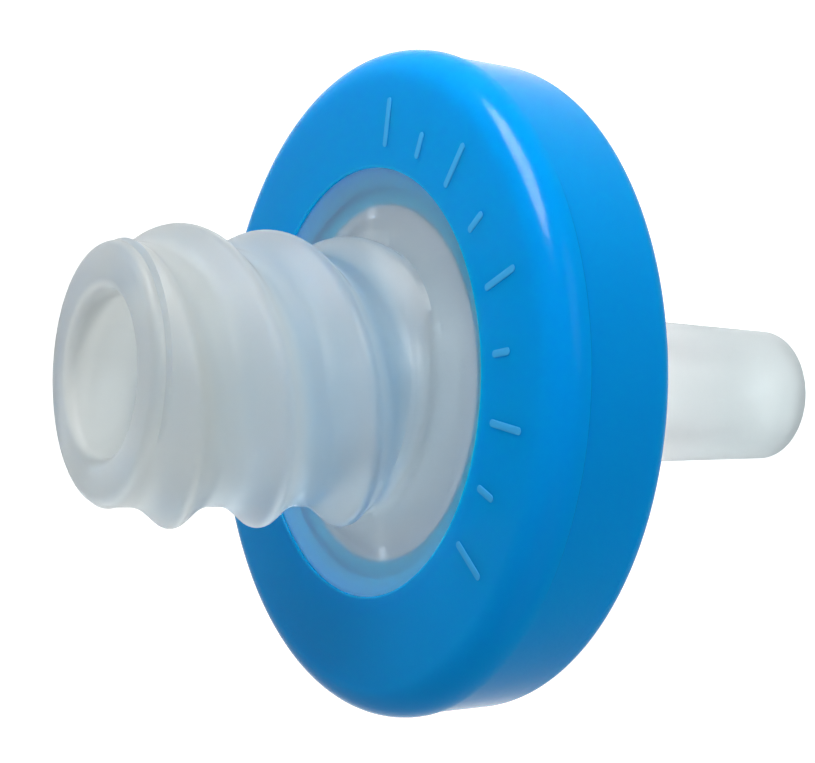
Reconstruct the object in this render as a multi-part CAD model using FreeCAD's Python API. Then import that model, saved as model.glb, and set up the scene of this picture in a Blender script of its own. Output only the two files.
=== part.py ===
# Overmoulded syringe filter, 13 mm class: a female luer lock inlet housing, a male luer slip outlet
# housing, the membrane disc clamped between them, and the blue ring moulded round all three.
# Millimetres. +Z runs up the flow axis from the outlet tip to the inlet mouth, and the origin is the
# centre of the outlet tip's end face, on which the filter stands.
import FreeCAD
import Part
import os
from math import cos, radians, sin, tan

Vector = FreeCAD.Vector
ORIGIN = Vector(0, 0, 0)
UP = Vector(0, 0, 1)

# --- luer fittings (ISO 80369-7 sizes) ---
LUER_TAPER = 0.06             # change of diameter per millimetre of length, both cones
FEMALE_MOUTH_D = 4.30         # cone of the inlet bore where it meets the mouth face
FEMALE_EDGE_R = 0.30          # rounding of the bore's edge at the mouth
FEMALE_FLOOR = 1.03           # floor of the inlet bore, above the chamber
INLET_CHANNEL_D = 2.0         # passage from the bottom of the inlet bore into the chamber
MALE_TIP_D = 3.94             # outlet cone at the tip face
MALE_EDGE_R = 0.20            # rounding of the tip's outer edge
MALE_FOOT_R = 0.80            # hollow blend from the outlet cone into its plate
MALE_REACH = 10.96            # outlet tip beyond the ring's outlet face
OUTLET_CHANNEL_D = 2.1        # passage through the outlet cone
OUTLET_CHANNEL_EDGE = 0.12    # chamfer of that passage at the tip

# --- hub of the inlet and its double-start luer lock thread ---
HUB_HEIGHT = 7.60             # inlet mouth above the ring's inlet face
HUB_D = 6.73                  # core of the hub, which is the root of the thread
HUB_EDGE_R = 0.30             # rounding of the hub's outer edge at the mouth
HUB_FOOT_R = 0.45             # hollow blend from the hub into its plate
THREAD_D = 7.83               # over the crests
THREAD_STARTS = 2
THREAD_LEAD = 5.0             # rise of one start in one turn
THREAD_FLANK_ANGLE = 38.0     # degrees between a flank and the axis
THREAD_CREST_R = 0.35         # rounding of the crests
THREAD_SINK = 0.15            # the thread's section runs this far into the hub's core
THREAD_FIRST_CREST = 2.00     # highest full crest on the +X side, below the mouth
THREAD_RUN_IN = 1.10          # the crests rise to full height over this length below the mouth

# --- blue ring ---
RING_D = 18.11                # over the inlet-side rim
RING_THICKNESS = 3.64
RING_WINDOW_D = 11.60         # openings in which the two housings show
RING_INLET_EDGE_R = 0.90
RING_OUTLET_EDGE_R = 0.50
RING_WINDOW_EDGE_R = 0.12
RING_PARTING_STEP = 0.07      # below the mould's parting line the barrel lies this far inside the rim
RING_BARREL_DRAFT = 1.8       # degrees
RING_TONGUE_ROOT = 0.50       # thickness of the tongue between the two plates, at its root

# --- plates of the two housings ---
INLET_RECESS = 0.06           # inlet plate below the ring's inlet face
OUTLET_RECESS = 0.81          # outlet plate below the ring's outlet face
INLET_PLATE = 1.12            # inlet plate, from its face to the membrane
WINDOW_WALL_DEPTH = 0.72      # depth of the tapered wall between plate face and flange
WINDOW_WALL_TAPER = 0.50      # the plates are this much smaller in radius at the wall's foot
RECESS_DRAFT = 6.0            # degrees, wall of the recess over the outlet plate
FLANGE_GRIP = 1.50            # rims of both plates reach this far under the ring's window edges

# --- membrane, chambers and what carries the membrane ---
MEMBRANE_D = 9.70
MEMBRANE_THICKNESS = 0.15
MEMBRANE_CLAMP = 0.35         # width of the membrane's edge that the two plates clamp
CHAMBER_DEPTH = 0.25
INLET_RIB_COUNT = 2           # ribs that keep the membrane off the inlet plate
INLET_RIB_WIDTH = 0.42
INLET_RIB_START_R = 1.55
INLET_RIB_ANGLE = 7.0         # degrees from +X
SUPPORT_RING_COUNT = 3        # rings that carry the membrane over the outlet plate
SUPPORT_RING_WIDTH = 0.40
SUPPORT_RING_GAP = 0.62
DRAIN_COUNT = 8               # straight drains cut through the support rings to the outlet channel
DRAIN_WIDTH = 0.60

SEW = 0.05                    # pieces of one moulding overlap by this much where they are joined

# --- levels on the axis ---
ring_outlet_z = MALE_REACH
ring_inlet_z = ring_outlet_z + RING_THICKNESS
mouth_z = ring_inlet_z + HUB_HEIGHT
inlet_face_z = ring_inlet_z - INLET_RECESS
outlet_face_z = ring_outlet_z + OUTLET_RECESS
membrane_top_z = inlet_face_z - INLET_PLATE
membrane_low_z = membrane_top_z - MEMBRANE_THICKNESS
bore_floor_z = membrane_top_z + CHAMBER_DEPTH + FEMALE_FLOOR
inlet_flange_z = inlet_face_z - WINDOW_WALL_DEPTH
outlet_flange_z = outlet_face_z + WINDOW_WALL_DEPTH

# --- radii shared by the pieces that meet ---
ring_r = RING_D / 2
window_r = RING_WINDOW_D / 2
wall_foot_r = window_r - WINDOW_WALL_TAPER
flange_r = window_r + FLANGE_GRIP
membrane_r = MEMBRANE_D / 2
chamber_r = membrane_r - MEMBRANE_CLAMP
hub_r = HUB_D / 2
crest_r = THREAD_D / 2
female_mouth_r = FEMALE_MOUTH_D / 2
female_floor_r = female_mouth_r - (mouth_z - bore_floor_z) * LUER_TAPER / 2
male_tip_r = MALE_TIP_D / 2
male_foot_r = male_tip_r + outlet_face_z * LUER_TAPER / 2
inlet_channel_r = INLET_CHANNEL_D / 2
outlet_channel_r = OUTLET_CHANNEL_D / 2

# the tongue's faces spread evenly from the membrane's edge out to its root
tongue_rise = (RING_TONGUE_ROOT - MEMBRANE_THICKNESS) / 2
tongue_root_top_z = membrane_top_z + tongue_rise
tongue_root_low_z = membrane_low_z - tongue_rise


def revolve(*outline):
    """Solid of revolution about Z from the corners of its half section, in order.

    A corner is (radius, height), or (radius, height, rounding) where it is rounded off."""
    corners = [Vector(corner[0], 0, corner[1]) for corner in outline]
    edges, last_exit, first_entry = [], None, None
    for i, corner in enumerate(corners):
        entry = leave = corner
        arc = None
        if len(outline[i]) == 3:
            rounding = outline[i][2]
            back = (corners[i - 1] - corner).normalize()
            ahead = (corners[(i + 1) % len(corners)] - corner).normalize()
            half = back.getAngle(ahead) / 2
            entry = corner + back * (rounding / tan(half))
            leave = corner + ahead * (rounding / tan(half))
            centre = corner + (back + ahead).normalize() * (rounding / sin(half))
            middle = centre + (corner - centre).normalize() * rounding
            arc = Part.Arc(entry, middle, leave).toShape()
        if last_exit:
            edges.append(Part.makeLine(last_exit, entry))
        else:
            first_entry = entry
        if arc:
            edges.append(arc)
        last_exit = leave
    edges.append(Part.makeLine(last_exit, first_entry))
    return Part.Face(Part.Wire(edges)).revolve(ORIGIN, UP, 360)


def tube(outer_r, inner_r, low, high):
    return revolve((inner_r, low), (outer_r, low), (outer_r, high), (inner_r, high))


def spokes(count, width, inner_r, outer_r, low, high, first_angle):
    """Evenly spaced straight bars that run outwards from the axis."""
    bars = []
    for i in range(count):
        bar = Part.makeBox(outer_r - inner_r, width, high - low, Vector(inner_r, -width / 2, low))
        bar.rotate(ORIGIN, UP, first_angle + 360 * i / count)
        bars.append(bar)
    return bars


def thread_tooth(low, high):
    """One start of the thread: straight flanks and a rounded crest, swept up the helix from +X."""
    flank = radians(THREAD_FLANK_ANGLE)
    crest_end = Vector(crest_r - THREAD_CREST_R * (1 - cos(flank)), 0, THREAD_CREST_R * sin(flank))
    sunk_r = hub_r - THREAD_SINK
    base_end = Vector(sunk_r, 0, crest_end.z + (crest_end.x - sunk_r) / tan(flank))
    low_crest_end = Vector(crest_end.x, 0, -crest_end.z)
    low_base_end = Vector(base_end.x, 0, -base_end.z)
    outline = Part.Wire([
        Part.makeLine(low_base_end, low_crest_end),
        Part.Arc(low_crest_end, Vector(crest_r, 0, 0), crest_end).toShape(),
        Part.makeLine(crest_end, base_end),
        Part.makeLine(base_end, low_base_end),
    ])
    helix = Part.makeLongHelix(THREAD_LEAD, high - low, hub_r)
    sweep = Part.BRepOffsetAPI.MakePipeShell(helix)
    sweep.setFrenetMode(True)
    sweep.add(outline)
    sweep.build()
    sweep.makeSolid()
    tooth = sweep.shape()
    tooth.translate(Vector(0, 0, low))
    return tooth


def threaded_hub():
    """The hub's core with its thread, trimmed so that the crests rise from nothing at the mouth."""
    low = inlet_face_z - SEW
    beyond = THREAD_LEAD / THREAD_STARTS
    thread_low, thread_high = low - beyond, mouth_z + beyond
    crest_angle = 360 * (thread_low - (mouth_z - THREAD_FIRST_CREST)) / THREAD_LEAD
    teeth = []
    for start in range(THREAD_STARTS):
        tooth = thread_tooth(thread_low, thread_high)
        tooth.rotate(ORIGIN, UP, crest_angle + 360 * start / THREAD_STARTS)
        teeth.append(tooth)
    core = Part.makeCylinder(hub_r, thread_high - thread_low + 2 * beyond, Vector(0, 0, thread_low - beyond))
    envelope = revolve(
        (0, low),
        (crest_r + SEW, low),
        (crest_r + SEW, mouth_z - THREAD_RUN_IN),
        (hub_r - SEW, mouth_z, HUB_EDGE_R),
        (0, mouth_z),
    )
    return core.fuse(teeth).common(envelope)


def inlet_housing():
    plate = revolve(
        (0, membrane_top_z),
        (membrane_r, membrane_top_z),
        (flange_r, tongue_root_top_z),
        (flange_r, inlet_flange_z),
        (wall_foot_r, inlet_flange_z),
        (window_r, inlet_face_z),
        (0, inlet_face_z),
    )
    foot = revolve(
        (0, inlet_face_z - SEW),
        (hub_r + HUB_FOOT_R, inlet_face_z - SEW),
        (hub_r + HUB_FOOT_R, inlet_face_z),
        (hub_r - SEW, inlet_face_z, HUB_FOOT_R),
        (hub_r - SEW, inlet_face_z + HUB_FOOT_R + SEW),
        (0, inlet_face_z + HUB_FOOT_R + SEW),
    )
    chamber = tube(chamber_r, 0, membrane_top_z, membrane_top_z + CHAMBER_DEPTH)
    ribs = spokes(INLET_RIB_COUNT, INLET_RIB_WIDTH, INLET_RIB_START_R, chamber_r,
                  membrane_top_z, membrane_top_z + CHAMBER_DEPTH, INLET_RIB_ANGLE)
    bore = revolve(
        (0, membrane_top_z),
        (inlet_channel_r, membrane_top_z),
        (inlet_channel_r, bore_floor_z),
        (female_floor_r, bore_floor_z),
        (female_mouth_r, mouth_z, FEMALE_EDGE_R),
        (female_mouth_r + FEMALE_EDGE_R + SEW, mouth_z),
        (female_mouth_r + FEMALE_EDGE_R + SEW, mouth_z + SEW),
        (0, mouth_z + SEW),
    )
    body = plate.fuse([foot, threaded_hub()])
    return body.cut(chamber.cut(ribs)).cut(bore)


def outlet_housing():
    plate = revolve(
        (0, membrane_low_z),
        (membrane_r, membrane_low_z),
        (flange_r, tongue_root_low_z),
        (flange_r, outlet_flange_z),
        (wall_foot_r, outlet_flange_z),
        (window_r, outlet_face_z),
        (male_foot_r, outlet_face_z, MALE_FOOT_R),
        (male_tip_r, 0, MALE_EDGE_R),
        (0, 0),
    )
    chamber_floor_z = membrane_low_z - CHAMBER_DEPTH
    chamber = tube(chamber_r, 0, chamber_floor_z, membrane_low_z)
    rings = []
    for i in range(SUPPORT_RING_COUNT):
        outer_r = chamber_r - SUPPORT_RING_GAP - i * (SUPPORT_RING_WIDTH + SUPPORT_RING_GAP)
        rings.append(tube(outer_r, outer_r - SUPPORT_RING_WIDTH, chamber_floor_z, membrane_low_z))
    drains = spokes(DRAIN_COUNT, DRAIN_WIDTH, 0, chamber_r, chamber_floor_z, membrane_low_z, 0)
    supports = rings[0].fuse(rings[1:]).cut(drains)
    channel = revolve(
        (0, 0),
        (outlet_channel_r + OUTLET_CHANNEL_EDGE, 0),
        (outlet_channel_r, OUTLET_CHANNEL_EDGE),
        (outlet_channel_r, membrane_low_z),
        (0, membrane_low_z),
    )
    return plate.cut(chamber.cut(supports)).cut(channel)


def membrane():
    return tube(membrane_r, 0, membrane_low_z, membrane_top_z)


def sealing_ring():
    parting_z = ring_inlet_z - RING_INLET_EDGE_R - SEW
    barrel_r = ring_r - RING_PARTING_STEP
    barrel_foot_r = barrel_r - (parting_z - ring_outlet_z) * tan(radians(RING_BARREL_DRAFT))
    recess_r = window_r + OUTLET_RECESS * tan(radians(RECESS_DRAFT))
    return revolve(
        (window_r, inlet_face_z),
        (window_r, ring_inlet_z),
        (ring_r, ring_inlet_z, RING_INLET_EDGE_R),
        (ring_r, parting_z),
        (barrel_r, parting_z - RING_PARTING_STEP),
        (barrel_foot_r, ring_outlet_z, RING_OUTLET_EDGE_R),
        (recess_r, ring_outlet_z, RING_WINDOW_EDGE_R),
        (window_r, outlet_face_z),
        (wall_foot_r, outlet_flange_z),
        (flange_r, outlet_flange_z),
        (flange_r, tongue_root_low_z),
        (membrane_r, membrane_low_z),
        (membrane_r, membrane_top_z),
        (flange_r, tongue_root_top_z),
        (flange_r, inlet_flange_z),
        (wall_foot_r, inlet_flange_z),
    )


PIECES = {
    "inlet_housing": inlet_housing,
    "outlet_housing": outlet_housing,
    "filter_membrane": membrane,
    "sealing_ring": sealing_ring,
}

os.makedirs("parts", exist_ok=True)
for name, make in PIECES.items():
    shape = make().removeSplitter()
    solid = shape.Solids[0]
    print(name, "solids", len(shape.Solids), "valid", solid.isValid(), "volume", round(solid.Volume, 3))
    solid.exportStep("parts/" + name + ".step")
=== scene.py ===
from math import ceil, cos, pi, radians, sin, sqrt, tan

import bmesh
import bpy
from mathutils import Matrix, Vector

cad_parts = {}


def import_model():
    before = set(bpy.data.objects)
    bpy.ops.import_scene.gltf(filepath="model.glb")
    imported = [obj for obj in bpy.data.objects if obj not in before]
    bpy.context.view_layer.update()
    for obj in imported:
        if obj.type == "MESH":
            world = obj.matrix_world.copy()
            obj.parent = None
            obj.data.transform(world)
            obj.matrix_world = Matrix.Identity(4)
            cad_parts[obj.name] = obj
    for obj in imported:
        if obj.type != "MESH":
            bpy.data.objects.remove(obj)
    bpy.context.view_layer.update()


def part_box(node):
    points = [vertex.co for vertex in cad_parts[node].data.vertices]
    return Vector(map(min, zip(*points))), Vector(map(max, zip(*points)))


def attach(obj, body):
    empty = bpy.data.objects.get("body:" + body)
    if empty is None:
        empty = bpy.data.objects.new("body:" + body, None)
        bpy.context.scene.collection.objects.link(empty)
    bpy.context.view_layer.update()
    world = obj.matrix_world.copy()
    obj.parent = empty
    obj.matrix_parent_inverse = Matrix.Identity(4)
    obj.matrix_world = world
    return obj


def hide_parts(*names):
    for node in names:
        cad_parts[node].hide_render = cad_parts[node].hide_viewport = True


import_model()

MM = 0.001
SLICES = 360                  # sections round the axis in a turned piece
ARC_STEP = radians(9)         # a rounding has one section point for each of these
SHARP_EDGE = radians(40)      # corners sharper than this stay crisp
BOND = 0.03                   # where mouldings are fused, the clear one runs this far into the other
AXIS_R = 0.001                # a solid disc is turned from this close to the axis
SAME_POINT = 1e-4             # points closer than this are one


def low_z(node):
    """The lowest height of a node, mm."""
    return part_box(node)[0].z / MM


def high_z(node):
    """The greatest height of a node, mm."""
    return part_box(node)[1].z / MM


def outer_r(node):
    """The outer radius of a round node, mm."""
    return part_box(node)[1].x / MM


# --- sizes taken from the frame, mm ---
mouth_z = high_z("inlet_housing")
flange_r = outer_r("inlet_housing")
ring_low_z = low_z("sealing_ring")
ring_high_z = high_z("sealing_ring")
ring_r = outer_r("sealing_ring")
membrane_r = outer_r("filter_membrane")
membrane_low_z = low_z("filter_membrane")
membrane_high_z = high_z("filter_membrane")

# --- luer fittings, mm ---
LUER_TAPER = 0.06             # change of diameter per millimetre of length
FEMALE_MOUTH_R = 2.15
FEMALE_EDGE_R = 0.30
FEMALE_FLOOR_Z = membrane_high_z + 1.28
FEMALE_FLOOR_EDGE_R = 0.10
INLET_CHANNEL_R = 1.0
MALE_TIP_R = 1.97
MALE_EDGE_R = 0.20
MALE_FOOT_R = 0.80
OUTLET_CHANNEL_R = 1.05
OUTLET_CHANNEL_EDGE = 0.12

# --- hub and its double-start thread, mm ---
HUB_R = 3.365
HUB_EDGE_R = 0.30
HUB_FOOT_R = 0.45
CREST_R = 3.915
CREST_ROUND = 0.35
FLANK = radians(38)           # between a flank and the axis
VALLEY_ROUND = 0.22           # softness of the hollow between root and flank
THREAD_LEAD = 5.0
THREAD_PITCH = THREAD_LEAD / 2
FIRST_CREST_Z = mouth_z - 2.0
THREAD_RUN_IN = 1.10
HUB_STEPS = 104               # section points down the hub
FACE_STEPS = 6                # section points from the hub out to the window

# --- ring and the plates in it, mm ---
WINDOW_R = 5.80
WALL_FOOT_R = 5.30
RING_INLET_EDGE_R = 0.90
RING_OUTLET_EDGE_R = 0.50
RING_WINDOW_EDGE_R = 0.12
RING_LIP_EDGE_R = 0.05
SEAM_DROP = 0.01              # the ring's wall meets the inlet plate this far below its face
PARTING_DROP = 0.05           # from the inlet rounding down to the mould's parting line
RING_PARTING_STEP = 0.07
RING_BARREL_DRAFT = radians(1.8)
RECESS_DRAFT = radians(6)
INLET_FACE_Z = ring_high_z - 0.06
OUTLET_FACE_Z = ring_low_z + 0.81
WINDOW_WALL_DEPTH = 0.72
TONGUE_RISE = 0.175           # the tongue between the plates is this much thicker at its root, each side

# --- chambers on both sides of the membrane, mm ---
CHAMBER_R = membrane_r - 0.35
CHAMBER_DEPTH = 0.25
RIB_COUNT = 2
RIB_WIDTH = 0.42
RIB_START_R = 1.55
RIB_ANGLE = radians(7)
RIB_CLEARANCE = 0.01          # the ribs stop this short of the membrane, so that their ends show
SUPPORT_RING_COUNT = 3
SUPPORT_RING_WIDTH = 0.40
SUPPORT_RING_GAP = 0.62
DRAIN_COUNT = 8
DRAIN_WIDTH = 0.60
SOFT_SIDE = 0.08              # width over which ribs, support rings and drains fall away
CHAMBER_STEPS = 36            # section points across a chamber
CEILING_Z = membrane_high_z + CHAMBER_DEPTH

# --- raised marks on the ring's inlet face, mm ---
MARK_FIRST_ANGLE = radians(-8)
MARK_STEP = radians(-15)
MARK_COUNT = 9
MARK_INNER_R = 6.35
MARK_LENGTHS = (1.35, 0.75)
MARK_WIDTH = 0.22
MARK_HEIGHT = 0.03
MARK_RINGS = 5                # a mark's rounded back is this many rings
MARK_SPOKES = 28              # of this many points

# --- the natural plastic along the axis: height in mm, then the share of light that it scatters ---
HAZE = (
    (0.5, 0.7),
    (3.0, 0.25),
    (9.0, 0.08),
    (OUTLET_FACE_Z, 0.05),
    (membrane_high_z - 0.1, 0.05),
    (membrane_high_z - 0.05, 0.5),
    (CEILING_Z - 0.05, 0.5),
    (CEILING_Z - 0.02, 0.05),
    (INLET_FACE_Z + 0.1, 0.05),
    (INLET_FACE_Z + 0.4, 0.17),
    (mouth_z - 2.5, 0.34),
)

# --- and its colour there, on the thread's crests and in the hollows between them, with painted light in it ---
# painted light: the stem is paler towards the ring, where the ring's shadow falls on it, and greyer at
# its tip
STEM_TINT_WITH_PAINTED_LIGHT = ((1.0, "#e0e8e7"), (4.0, "#f4f8f8"), (9.0, "#ffffff"))
# painted light: the hub's foot is bluer, for the blue ring seen through it; nearer the mouth it is
# greyer
CREST_TINT_WITH_PAINTED_BLUE = STEM_TINT_WITH_PAINTED_LIGHT + (
    (INLET_FACE_Z + 0.1, "#dfe6e9"),
    (INLET_FACE_Z + 0.9, "#bdd0da"),
    (17.5, "#d3dbde"),
    (20.0, "#c7cac6"),
)
# painted shade: the hollows are darker and bluer than the crests, also for the blue ring seen through
# them
HOLLOW_TINT_WITH_PAINTED_SHADE = STEM_TINT_WITH_PAINTED_LIGHT + (
    (INLET_FACE_Z + 0.1, "#d8e3e8"),
    (INLET_FACE_Z + 0.9, "#aecadb"),
    (17.5, "#c6d8e1"),
    (20.0, "#c4cac8"),
)
HOLLOW_SHADE_TO_R = HUB_R + 0.05    # the hollows have their painted shade up to here
CREST_FROM_R = CREST_R - 0.15    # and the crests theirs from here on
CLOUD_LEAST = 0.8             # the haze is uneven by factors from this
CLOUD_MOST = 1.2              # to this

# --- other colours ---
RING_BLUES = ("#0088d1", "#0091dd")
RELIEF_PAINTED_PALER_BLUES = ("#359cd9", "#42a6e1")    # the low relief is painted paler than the ring, a painted highlight for the light it catches
PAINTED_LIT_WALL_BLUE = "#1fb0ef"         # the window's wall, painted paler for the light that falls on it through the plate
# painted shade: the white membrane is drawn grey, for the shade it lies in under the plate
MEMBRANE_PAINTED_SHADE_WHITES = ("#b5bdc3", "#c0c6cb")
# painted highlight: pale strips on the membrane under the two ribs, for the light the ribs catch
RIB_PAINTED_HIGHLIGHT_WHITE = "#eef1f3"
CLEAR_SHADE = "#e2e8ec"       # light that falls through the natural plastic keeps this colour
FLOOR_WHITE = "#c8c8c8"
WHITE = "#ffffff"

# --- surfaces ---
PLASTIC_IOR = 1.49
HUB_ROUGHNESS = 0.4
PLATE_ROUGHNESS = 0.3
HUB_SURFACE_TO_R = 3.8        # the hub and the stem are rougher than the plates round them
PLATE_SURFACE_FROM_R = 4.4
SOFT_EDGE = 0.1               # the wall's painted light blue fades into the ring's over this much, each side, mm
RIB_HIGHLIGHT_INSIDE = 0.1            # the painted pale strips under the ribs fade out from this far inside their edges
RIB_HIGHLIGHT_OUTSIDE = 0.05          # to this far outside, mm
GRAIN_STRENGTH = 0.2
GRAIN_DEPTH = 0.03            # mm

# --- floor, white room and lamps; places and sizes in mm, lamp powers in watts ---
FLOOR_HALF = 400
FLOOR_Z = -0.02
FLOOR_GLOW = 0.86             # white that the floor adds where it is seen
ROOM_LIGHT = 0.28             # strength of the white room as a light; where it is seen it has 1
LAMPS_AIM = (0, 0, 14)
KEY_PLACE = (34, -10, 34)
KEY_RUNS = (-0.42, -0.85, 0.33)    # the way the long side of the two lamps there runs

# --- camera, mm ---
SENSOR_WIDTH = 36
FOCAL_LENGTH = 84.53
EYE = (0, -44.80, 40.93)
EYE_BACK = (-0.0010, -0.8493, 0.5278)
EYE_RIGHT = (0.0327, -0.5275, -0.8488)
NEAREST = 1
FARTHEST = 2000


# ---------------------------------------------------------------- shapes

def path(*corners):
    """Points along corners (radius, height); a third number rounds that corner off."""
    points = []
    for i, corner in enumerate(corners):
        if len(corner) == 2:
            points.append(corner)
            continue
        at = Vector(corner[:2])
        rounding = corner[2]
        back = (Vector(corners[i - 1][:2]) - at).normalized()
        ahead = (Vector(corners[(i + 1) % len(corners)][:2]) - at).normalized()
        half = back.angle(ahead) / 2
        centre = at + (back + ahead).normalized() * (rounding / sin(half))
        spoke = at + back * (rounding / tan(half)) - centre
        turn = (pi - 2 * half) * (-1 if back.cross(ahead) > 0 else 1)
        steps = max(2, ceil(abs(turn) / ARC_STEP))
        for step in range(steps + 1):
            point = centre + Matrix.Rotation(turn * step / steps, 2) @ spoke
            points.append((point.x, point.y))
    return points


def spread(start, end, count):
    """Numbers from start to end in that many equal steps, both ends kept."""
    return [start + (end - start) * i / count for i in range(count + 1)]


def soft_step(x):
    """From 0 to 1 as x goes from 0 to 1, level at both ends."""
    x = min(1.0, max(0.0, x))
    return x * x * (3 - 2 * x)


def soft_max(a, b, hollow):
    """The greater of two heights, with a rounded hollow of that size where they cross."""
    near = max(0.0, 1 - abs(a - b) / hollow)
    return max(a, b) + near * near * hollow / 4


def lathe(name, section_at):
    """A turned solid from its closed half section, which may change with the angle round the axis."""
    verts = []
    for i in range(SLICES):
        angle = 2 * pi * i / SLICES
        section = section_at(angle)
        verts += [(r * cos(angle) * MM, r * sin(angle) * MM, z * MM) for r, z in section]
    count = len(section)
    faces = []
    for i in range(SLICES):
        here = i * count
        there = (i + 1) % SLICES * count
        for k in range(count):
            ahead = (k + 1) % count
            faces.append((here + k, there + k, there + ahead, here + ahead))
    return solid(name, verts, faces)


def solid(name, verts, faces):
    """A mesh object whose faces all look outwards, smooth but for its crisp corners."""
    mesh = bpy.data.meshes.new(name)
    mesh.from_pydata(verts, [], faces)
    shell = bmesh.new()
    shell.from_mesh(mesh)
    bmesh.ops.remove_doubles(shell, verts=shell.verts, dist=SAME_POINT * MM)
    bmesh.ops.recalc_face_normals(shell, faces=shell.faces)
    shell.to_mesh(mesh)
    shell.free()
    mesh.shade_smooth()
    mesh.set_sharp_from_angle(angle=SHARP_EDGE)
    return put_in_scene(name, mesh)


def put_in_scene(name, data):
    """An object in the scene for a mesh, lamp or camera."""
    thing = bpy.data.objects.new(name, data)
    bpy.context.scene.collection.objects.link(thing)
    return thing


# ---------------------------------------------------------------- inlet housing

def thread_radius(z, angle):
    """Radius of the threaded hub: root, straight flanks and rounded crests on a double helix."""
    above_crest = z - FIRST_CREST_Z - THREAD_LEAD * angle / (2 * pi)
    off_crest = abs((above_crest + THREAD_PITCH / 2) % THREAD_PITCH - THREAD_PITCH / 2)
    shoulder = CREST_ROUND * sin(FLANK)
    if off_crest < shoulder:
        tooth = CREST_R - CREST_ROUND + sqrt(CREST_ROUND ** 2 - off_crest ** 2)
    else:
        tooth = CREST_R - CREST_ROUND * (1 - cos(FLANK)) - (off_crest - shoulder) * tan(FLANK)
    run_in = HUB_R + (mouth_z - z) * (CREST_R - HUB_R) / THREAD_RUN_IN
    trimmed = -soft_max(-tooth, -run_in, VALLEY_ROUND)
    return soft_max(HUB_R, trimmed, VALLEY_ROUND)


def hub_side(angle):
    """Section points down the hub's outside, from the mouth's edge to the plate."""
    points = []
    for z in spread(mouth_z - HUB_EDGE_R, INLET_FACE_Z, HUB_STEPS):
        above_plate = z - INLET_FACE_Z
        foot = HUB_R - HUB_FOOT_R
        if above_plate < HUB_FOOT_R:
            foot = HUB_R + HUB_FOOT_R - sqrt(HUB_FOOT_R ** 2 - (HUB_FOOT_R - above_plate) ** 2)
        points.append((soft_max(thread_radius(z, angle), foot, VALLEY_ROUND), z))
    return points


def rib_drop(r, angle):
    """How far the inlet chamber's ceiling comes down, 0 to 1: all the way along its two ribs."""
    drop = 0.0
    for rib in range(RIB_COUNT):
        turned = angle - RIB_ANGLE - 2 * pi * rib / RIB_COUNT
        if cos(turned) > 0 and r > RIB_START_R:
            drop = max(drop, soft_step((RIB_WIDTH / 2 - abs(r * sin(turned))) / SOFT_SIDE + 0.5))
    return drop


def inlet_housing():
    """Threaded hub with its bore, the plate at its foot and the ribbed chamber under it."""
    flange_z = INLET_FACE_Z - WINDOW_WALL_DEPTH
    floor_r = FEMALE_MOUTH_R - (mouth_z - FEMALE_FLOOR_Z) * LUER_TAPER / 2
    edge_r = HUB_R - HUB_EDGE_R
    bore = path(
        (INLET_CHANNEL_R, CEILING_Z),
        (INLET_CHANNEL_R, FEMALE_FLOOR_Z, FEMALE_FLOOR_EDGE_R),
        (floor_r, FEMALE_FLOOR_Z, FEMALE_FLOOR_EDGE_R),
        (FEMALE_MOUTH_R, mouth_z, FEMALE_EDGE_R),
        (edge_r, mouth_z),
    )
    edge = path((edge_r, mouth_z), (HUB_R, mouth_z, HUB_EDGE_R), (HUB_R, INLET_FACE_Z))[1:-1]
    plate = path(
        (WINDOW_R + BOND, INLET_FACE_Z),
        (WALL_FOOT_R + BOND, flange_z + BOND),
        (flange_r - BOND, flange_z + BOND),
        (flange_r - BOND, membrane_high_z + TONGUE_RISE - BOND),
        (membrane_r, membrane_high_z - BOND),
        (CHAMBER_R, membrane_high_z - BOND),
    )

    def section(angle):
        """The closed half section at that angle."""
        side = hub_side(angle)
        face = [(r, INLET_FACE_Z) for r in spread(side[-1][0], WINDOW_R + BOND, FACE_STEPS)[1:-1]]
        ceiling = [
            (r, CEILING_Z - (CHAMBER_DEPTH - RIB_CLEARANCE) * rib_drop(r, angle))
            for r in spread(CHAMBER_R, INLET_CHANNEL_R, CHAMBER_STEPS)[:-1]
        ]
        return bore + edge + side[1:] + face + plate + ceiling

    return lathe("inlet_body", section)


# ---------------------------------------------------------------- outlet housing

def support_rise(r, angle):
    """How far the outlet chamber's floor comes up, 0 to 1: on the support rings, not in the drains."""
    rise = 0.0
    outermost = CHAMBER_R - SUPPORT_RING_GAP - SUPPORT_RING_WIDTH / 2
    for i in range(SUPPORT_RING_COUNT):
        middle = outermost - i * (SUPPORT_RING_WIDTH + SUPPORT_RING_GAP)
        rise = max(rise, soft_step((SUPPORT_RING_WIDTH / 2 - abs(r - middle)) / SOFT_SIDE + 0.5))
    nearest = (angle + pi / DRAIN_COUNT) % (2 * pi / DRAIN_COUNT) - pi / DRAIN_COUNT
    return rise * soft_step((abs(r * sin(nearest)) - DRAIN_WIDTH / 2) / SOFT_SIDE + 0.5)


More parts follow.
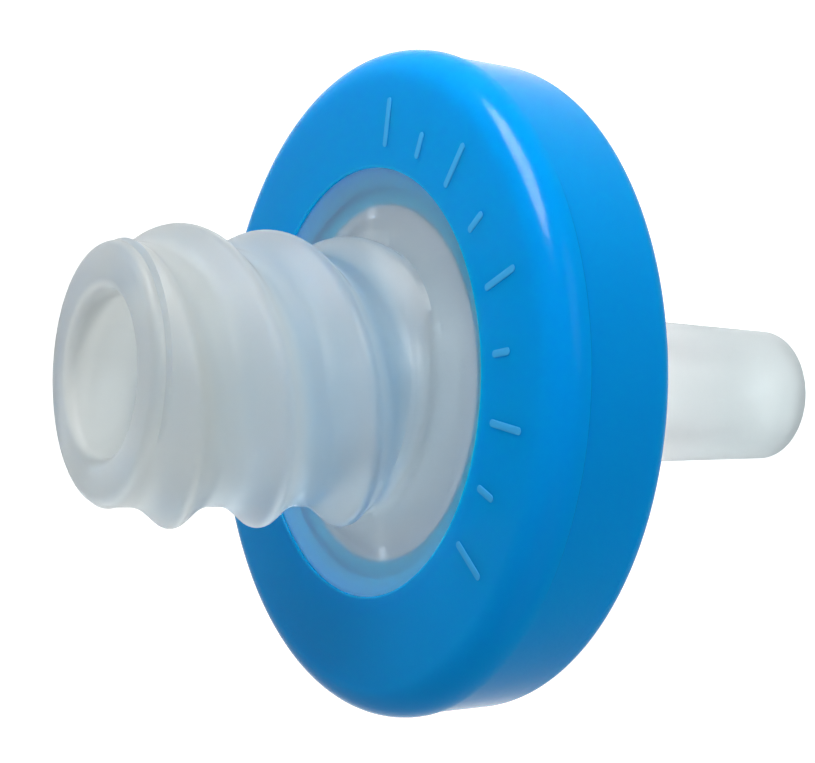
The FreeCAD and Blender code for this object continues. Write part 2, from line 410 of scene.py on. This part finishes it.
def outlet_housing():
    """Tapered stem with its passage, the plate at its foot and the chamber that carries the membrane."""
    flange_z = OUTLET_FACE_Z + WINDOW_WALL_DEPTH
    foot_r = MALE_TIP_R + OUTLET_FACE_Z * LUER_TAPER / 2
    floor_z = membrane_low_z - CHAMBER_DEPTH
    outside = path(
        (OUTLET_CHANNEL_R, floor_z),
        (OUTLET_CHANNEL_R, OUTLET_CHANNEL_EDGE),
        (OUTLET_CHANNEL_R + OUTLET_CHANNEL_EDGE, 0),
        (MALE_TIP_R, 0, MALE_EDGE_R),
        (foot_r, OUTLET_FACE_Z, MALE_FOOT_R),
        (WINDOW_R + BOND, OUTLET_FACE_Z),
        (WALL_FOOT_R + BOND, flange_z - BOND),
        (flange_r - BOND, flange_z - BOND),
        (flange_r - BOND, membrane_low_z - TONGUE_RISE + BOND),
        (membrane_r, membrane_low_z + BOND),
    )

    def section(angle):
        """The closed half section at that angle."""
        floor = [
            (r, floor_z + (CHAMBER_DEPTH + BOND) * support_rise(r, angle))
            for r in spread(CHAMBER_R, OUTLET_CHANNEL_R, 2 * CHAMBER_STEPS)[:-1]
        ]
        return outside + [(CHAMBER_R, membrane_low_z + BOND)] + floor

    return lathe("outlet_body", section)


# ---------------------------------------------------------------- membrane, ring and its marks

def filter_membrane():
    """A flat disc."""
    outline = path(
        (AXIS_R, membrane_low_z),
        (membrane_r, membrane_low_z),
        (membrane_r, membrane_high_z),
        (AXIS_R, membrane_high_z),
    )
    return lathe("membrane_disc", lambda angle: outline)


def sealing_ring():
    """Closed round both plates' rims and the membrane's edge, with its parting step and drafts."""
    parting_z = ring_high_z - RING_INLET_EDGE_R - PARTING_DROP
    barrel_r = ring_r - RING_PARTING_STEP
    barrel_foot_r = barrel_r - (parting_z - ring_low_z) * tan(RING_BARREL_DRAFT)
    recess_r = WINDOW_R + (OUTLET_FACE_Z - ring_low_z) * tan(RECESS_DRAFT)
    inlet_flange_z = INLET_FACE_Z - WINDOW_WALL_DEPTH
    outlet_flange_z = OUTLET_FACE_Z + WINDOW_WALL_DEPTH
    outline = path(
        (WINDOW_R, INLET_FACE_Z - SEAM_DROP),
        (WINDOW_R, ring_high_z, RING_LIP_EDGE_R),
        (ring_r, ring_high_z, RING_INLET_EDGE_R),
        (ring_r, parting_z),
        (barrel_r, parting_z - RING_PARTING_STEP),
        (barrel_foot_r, ring_low_z, RING_OUTLET_EDGE_R),
        (recess_r, ring_low_z, RING_WINDOW_EDGE_R),
        (WINDOW_R, OUTLET_FACE_Z),
        (WALL_FOOT_R, outlet_flange_z),
        (flange_r, outlet_flange_z),
        (flange_r, membrane_low_z - TONGUE_RISE),
        (membrane_r, membrane_low_z),
        (membrane_r, membrane_high_z),
        (flange_r, membrane_high_z + TONGUE_RISE),
        (flange_r, inlet_flange_z),
        (WALL_FOOT_R, inlet_flange_z),
    )
    return lathe("overmoulded_ring", lambda angle: outline)


def raised_marks():
    """Plain radial bars in low relief round one side of the ring's inlet face, each a closed pad."""
    verts, faces = [], []
    for mark in range(MARK_COUNT):
        length = MARK_LENGTHS[mark % len(MARK_LENGTHS)]
        turn = Matrix.Rotation(MARK_FIRST_ANGLE + MARK_STEP * mark, 3, "Z")
        straight = length / 2 - MARK_WIDTH / 2
        first = len(verts)
        # ring 0 is sunk into the blue face, the others climb to the crown
        for ring in range(MARK_RINGS + 1):
            out = 1 - ring / (MARK_RINGS + 1)
            height = MARK_HEIGHT * sqrt(1 - out * out) if ring else -BOND
            for spoke in range(MARK_SPOKES):
                angle = 2 * pi * (spoke + 0.5) / MARK_SPOKES
                along = (straight if cos(angle) > 0 else -straight) * (out if ring > 1 else 1)
                along += cos(angle) * out * MARK_WIDTH / 2
                across = sin(angle) * out * MARK_WIDTH / 2
                point = Vector((MARK_INNER_R + length / 2 + along, across, ring_high_z + height))
                verts.append(turn @ point * MM)
        for ring in range(MARK_RINGS):
            for spoke in range(MARK_SPOKES):
                a = first + ring * MARK_SPOKES + spoke
                b = first + ring * MARK_SPOKES + (spoke + 1) % MARK_SPOKES
                faces.append((a, b, b + MARK_SPOKES, a + MARK_SPOKES))
        for ring in (0, MARK_RINGS):
            faces.append(tuple(first + ring * MARK_SPOKES + spoke for spoke in range(MARK_SPOKES)))
    return solid("moulded_marks", verts, faces)


# ---------------------------------------------------------------- materials

def linear(colour):
    """Linear RGBA from an sRGB hex colour."""
    channels = [int(colour[i:i + 2], 16) / 255 for i in (1, 3, 5)]
    return [c / 12.92 if c <= 0.04045 else ((c + 0.055) / 1.055) ** 2.4 for c in channels] + [1.0]


def add(tree, kind, inputs=(), **settings):
    """A node of that kind. Settings go by attribute or socket name; inputs are pairs of a socket and the
    value or source for it."""
    node = tree.nodes.new(kind)
    for name, value in settings.items():
        if hasattr(node, name):
            setattr(node, name, value)
        else:
            node.inputs[name.replace("_", " ")].default_value = value
    for socket, value in inputs:
        if isinstance(value, bpy.types.NodeSocket):
            tree.links.new(value, node.inputs[socket])
        else:
            node.inputs[socket].default_value = value
    return node


def new_material(name):
    """An empty material and its node tree."""
    material = bpy.data.materials.new(name)
    material.use_nodes = True
    material.node_tree.nodes.clear()
    return material, material.node_tree


def end_material(tree, shader):
    """Makes a shader the surface of the material."""
    add(tree, "ShaderNodeOutputMaterial", [("Surface", shader.outputs[0])])


def reckon(tree, operation, *values):
    """The result of one step of arithmetic on numbers or sources."""
    return add(tree, "ShaderNodeMath", enumerate(values), operation=operation).outputs[0]


def slope(tree, value, start, end, low=0.0, high=1.0):
    """A level that goes from low to high while the value goes from start to end."""
    fade = add(tree, "ShaderNodeMapRange", [("Value", value)],
               From_Min=start, From_Max=end, To_Min=low, To_Max=high)
    return fade.outputs[0]


def blend(tree, share, first, second):
    """A colour between two, by that share of the second."""
    # a colour mix takes the share at socket 0 and the colours at 6 and 7, and gives its result at 2
    mix = add(tree, "ShaderNodeMix", [(0, share), (6, first), (7, second)], data_type="RGBA")
    return mix.outputs[2]


def object_place(tree):
    """Where a point is on the object, in millimetres."""
    place = add(tree, "ShaderNodeNewGeometry").outputs["Position"]
    return add(tree, "ShaderNodeVectorMath", [(0, place)], operation="SCALE", Scale=1 / MM).outputs[0]


def off_axis(tree, place):
    """How far a point is from the axis, in millimetres."""
    flat = add(tree, "ShaderNodeVectorMath", [(0, place), (1, (1, 1, 0))], operation="MULTIPLY")
    return add(tree, "ShaderNodeVectorMath", [(0, flat.outputs[0])], operation="LENGTH").outputs["Value"]


def height_ramp(tree, height, stops):
    """A level or colour that changes along the axis; stops are (height in mm, level or sRGB hex)."""
    ramp = add(tree, "ShaderNodeValToRGB", [("Fac", reckon(tree, "DIVIDE", height, mouth_z))])
    elements = ramp.color_ramp.elements
    while len(elements) < len(stops):
        elements.new(0.5)     # moved to its place below
    for element, (z, level) in zip(elements, stops):
        element.position = z / mouth_z
        element.color = linear(level) if isinstance(level, str) else (level, level, level, 1.0)
    return ramp.outputs[0]


def noise(tree, place, scale, detail):
    """Soft random shades from 0 to 1, each about 1 / scale millimetres across."""
    shades = add(tree, "ShaderNodeTexNoise", [("Vector", place)], Scale=scale, Detail=detail)
    return shades.outputs["Fac"]


def marbled(tree, place, scale, detail, colours):
    """Two colours in soft random patches."""
    return blend(tree, noise(tree, place, scale, detail), *(linear(colour) for colour in colours))


def moulded_grain(tree, place, scale):
    """The slight unevenness that a mould leaves, as a turn of the surface's direction."""
    bump = add(tree, "ShaderNodeBump", [("Height", noise(tree, place, scale, detail=3.0))],
               Strength=GRAIN_STRENGTH, Distance=GRAIN_DEPTH * MM)
    return bump.outputs[0]


def moulded_blue_polypropylene(name, blues, depth):
    """Pigmented polypropylene from a smooth mould: light sinks a little way in where it is thick, and it
    has a crisp sheen. The wall of its window is painted a paler blue, for the light that falls on it
    through the plate. The grain of the mould is drawn at 0.2 mm, coarser than the real one, so that it
    still breaks up the sheen."""
    material, tree = new_material(name)
    place = object_place(tree)
    pigment = marbled(tree, place, scale=0.22, detail=3.0, colours=blues)
    # painted light: inside the window's edge the blue is paler
    past_painted_wall = slope(tree, off_axis(tree, place), WINDOW_R - SOFT_EDGE, WINDOW_R + SOFT_EDGE)
    surface = add(tree, "ShaderNodeBsdfPrincipled",
                  [("Base Color", blend(tree, past_painted_wall, linear(PAINTED_LIT_WALL_BLUE), pigment)),
                   ("Normal", moulded_grain(tree, place, scale=5.0))],
                  Roughness=0.15, IOR=PLASTIC_IOR, Specular_IOR_Level=0.02,
                  Subsurface_Weight=depth, Subsurface_Radius=(0.2, 0.7, 1.0), Subsurface_Scale=1.6 * MM)
    end_material(tree, surface)
    return material


def moulded_natural_polypropylene():
    """Unpigmented polypropylene: the plates are nearly clear, and the thick hub and the stem's tip are
    milky. Its colour has painted light in it: the hollows of the thread and the hub's foot are painted
    darker and bluer, as painted shade and the blue ring seen through the thinner wall, and the stem is
    painted paler towards the ring, where the ring's shadow falls. The grain of the mould is drawn at
    0.6 mm, coarser than the real one, which would be too fine to see."""
    material, tree = new_material("moulded_natural_polypropylene")
    place = object_place(tree)
    height = add(tree, "ShaderNodeSeparateXYZ", [(0, place)]).outputs["Z"]
    reach = off_axis(tree, place)
    cloud = slope(tree, noise(tree, place, scale=0.35, detail=2.0), 0, 1, CLOUD_LEAST, CLOUD_MOST)
    haze = reckon(tree, "MULTIPLY", height_ramp(tree, height, HAZE), cloud)
    hollow = height_ramp(tree, height, HOLLOW_TINT_WITH_PAINTED_SHADE)
    crest = height_ramp(tree, height, CREST_TINT_WITH_PAINTED_BLUE)
    # painted shade and painted blue in the hollows, painted light along the stem
    tint_with_painted_light = blend(tree, slope(tree, reach, HOLLOW_SHADE_TO_R, CREST_FROM_R), hollow, crest)
    roughness = slope(tree, reach, HUB_SURFACE_TO_R, PLATE_SURFACE_FROM_R,
                      HUB_ROUGHNESS, PLATE_ROUGHNESS)
    surface = add(tree, "ShaderNodeBsdfPrincipled",
                  [("Base Color", tint_with_painted_light), ("Roughness", roughness),
                   ("Normal", moulded_grain(tree, place, scale=1.6)),
                   ("Transmission Weight", reckon(tree, "SUBTRACT", 1.0, haze))],
                  IOR=PLASTIC_IOR,
                  Subsurface_Weight=1.0, Subsurface_Radius=(1.0, 1.0, 1.0), Subsurface_Scale=12 * MM)
    clear = add(tree, "ShaderNodeBsdfTransparent", Color=linear(CLEAR_SHADE))
    shadow_ray = add(tree, "ShaderNodeLightPath").outputs["Is Shadow Ray"]
    end_material(tree, add(tree, "ShaderNodeMixShader",
                           [(0, shadow_ray), (1, surface.outputs[0]), (2, clear.outputs[0])]))
    return material


def cast_white_membrane():
    """Cast porous membrane: chalk white and dead matt, but drawn grey as painted shade for the shade it
    lies in under the plate, with painted pale strips under the two ribs for the light that the ribs
    catch. Its pores are under a thousandth of a millimetre, so they are drawn as a 0.08 mm mottle."""
    material, tree = new_material("cast_white_membrane")
    place = object_place(tree)
    # the mottle's greys are painted shade on a white membrane
    mottle = marbled(tree, place, scale=12.0, detail=2.0, colours=MEMBRANE_PAINTED_SHADE_WHITES)
    across_ribs = (-sin(RIB_ANGLE), cos(RIB_ANGLE), 0)
    off_rib = add(tree, "ShaderNodeVectorMath", [(0, place), (1, across_ribs)], operation="DOT_PRODUCT")
    under_rib = slope(tree, reckon(tree, "ABSOLUTE", off_rib.outputs["Value"]),
                      RIB_WIDTH / 2 - RIB_HIGHLIGHT_INSIDE, RIB_WIDTH / 2 + RIB_HIGHLIGHT_OUTSIDE, 1.0, 0.0)
    past_bore = slope(tree, off_axis(tree, place),
                      RIB_START_R - RIB_HIGHLIGHT_OUTSIDE, RIB_START_R + RIB_HIGHLIGHT_INSIDE)
    # painted highlight under the ribs
    with_painted_rib_highlights = blend(tree, reckon(tree, "MULTIPLY", under_rib, past_bore), mottle, linear(RIB_PAINTED_HIGHLIGHT_WHITE))
    end_material(tree, add(tree, "ShaderNodeBsdfPrincipled", [("Base Color", with_painted_rib_highlights)],
                           Roughness=0.85, Specular_IOR_Level=0.0))
    return material


# ---------------------------------------------------------------- stage, light and camera

def seen_directly(tree):
    """1 for rays that show the background: straight, in a reflection or through the clear plastic."""
    rays = add(tree, "ShaderNodeLightPath").outputs
    seen = rays["Is Camera Ray"]
    for kind in ("Is Glossy Ray", "Is Transmission Ray"):
        seen = reckon(tree, "MAXIMUM", seen, rays[kind])
    return seen


def floor():
    """A plain white table, a hair below the tip that stands on it."""
    mesh = bpy.data.meshes.new("floor")
    half = FLOOR_HALF * MM
    outline = ((-half, -half), (half, -half), (half, half), (-half, half))
    mesh.from_pydata([(x, y, FLOOR_Z * MM) for x, y in outline], [], [(0, 1, 2, 3)])
    material, tree = new_material("white_table")
    matt = add(tree, "ShaderNodeBsdfDiffuse", Color=linear(FLOOR_WHITE))
    glow = reckon(tree, "MULTIPLY", seen_directly(tree), FLOOR_GLOW)
    white = add(tree, "ShaderNodeEmission", [("Strength", glow)])
    end_material(tree, add(tree, "ShaderNodeAddShader", [(0, matt.outputs[0]), (1, white.outputs[0])]))
    mesh.materials.append(material)
    put_in_scene("floor", mesh)


def world():
    """A white room, weaker as a light than where it is seen."""
    sky = bpy.data.worlds.new("studio")
    bpy.context.scene.world = sky
    sky.use_nodes = True
    tree = sky.node_tree
    tree.nodes.clear()
    strength = slope(tree, seen_directly(tree), 0, 1, ROOM_LIGHT, 1.0)
    white = add(tree, "ShaderNodeBackground", [("Strength", strength)], Color=linear(WHITE))
    add(tree, "ShaderNodeOutputWorld", [("Surface", white.outputs[0])])


def stand(thing, place, back, right):
    """Puts a lamp or camera down, its back and its right side turned those ways."""
    back = Vector(back).normalized()
    right = Vector(right)
    right = (right - back * right.dot(back)).normalized()
    turn = Matrix((right, back.cross(right), back)).transposed()
    thing.matrix_world = Matrix.Translation(Vector(place) * MM) @ turn.to_4x4()


def soft_box(name, place, size, power, length=None, runs=(0, 0, 1)):
    """A round or long oval lamp that looks at the object, its long side running that way."""
    lamp = bpy.data.lights.new(name, "AREA")
    lamp.shape = "ELLIPSE"
    lamp.size = (length or size) * MM
    lamp.size_y = size * MM
    lamp.energy = power
    holder = put_in_scene(name, lamp)
    holder.visible_camera = False
    stand(holder, place, Vector(place) - Vector(LAMPS_AIM), runs)
    return holder


def only_a_glint(lamp, piece):
    """Keeps a lamp to the sheen of one piece."""
    lamp.visible_diffuse = lamp.visible_transmission = False
    lit = bpy.data.collections.new(lamp.name + "_receivers")
    lit.objects.link(piece)
    lamp.light_linking.receiver_collection = lit


def lamps():
    """A key light off the inlet's end, a narrower glint on the ring from the same place, and soft light
    from all round."""
    key = soft_box("key", KEY_PLACE, size=24, power=0.0155, length=44, runs=KEY_RUNS)
    key.visible_glossy = False
    glint = soft_box("glint", KEY_PLACE, size=17, power=0.15, length=32, runs=KEY_RUNS)
    only_a_glint(glint, bpy.data.objects["overmoulded_ring"])
    side = soft_box("side", (60, -130, 10), size=100, power=0.115)
    side.visible_transmission = False
    soft_box("low", (-90, -60, 60), size=120, power=0.03)
    back = soft_box("back", (20, 130, 14), size=100, power=0.065)
    back.visible_glossy = back.visible_transmission = False


def camera():
    """Looks from beyond the inlet's end, with the flow axis across the picture, inlet to the left."""
    data = bpy.data.cameras.new("camera")
    data.sensor_width = SENSOR_WIDTH
    data.lens = FOCAL_LENGTH
    data.clip_start = NEAREST * MM
    data.clip_end = FARTHEST * MM
    holder = put_in_scene("camera", data)
    stand(holder, EYE, EYE_BACK, EYE_RIGHT)
    bpy.context.scene.camera = holder


# ---------------------------------------------------------------- assembly

natural = moulded_natural_polypropylene()
blue = moulded_blue_polypropylene("moulded_blue_polypropylene", RING_BLUES, depth=0.7)
# the marks' paler blue is a painted highlight
relief = moulded_blue_polypropylene("low_relief_painted_highlight_blue", RELIEF_PAINTED_PALER_BLUES, depth=0.0)
chalk = cast_white_membrane()

PIECES = (
    (inlet_housing, natural, "inlet_housing", "natural_polypropylene"),
    (outlet_housing, natural, "outlet_housing", "natural_polypropylene"),
    (filter_membrane, chalk, "filter_membrane", "white_membrane"),
    (sealing_ring, blue, "sealing_ring", "blue_polypropylene"),
    (raised_marks, relief, "sealing_ring", "blue_polypropylene"),
)
for make, material, node, slot in PIECES:
    piece = make()
    piece.data.materials.append(material)
    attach(piece, "root")
    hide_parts(node)

floor()
world()
lamps()
camera()

bpy.context.scene.view_settings.view_transform = "Standard"
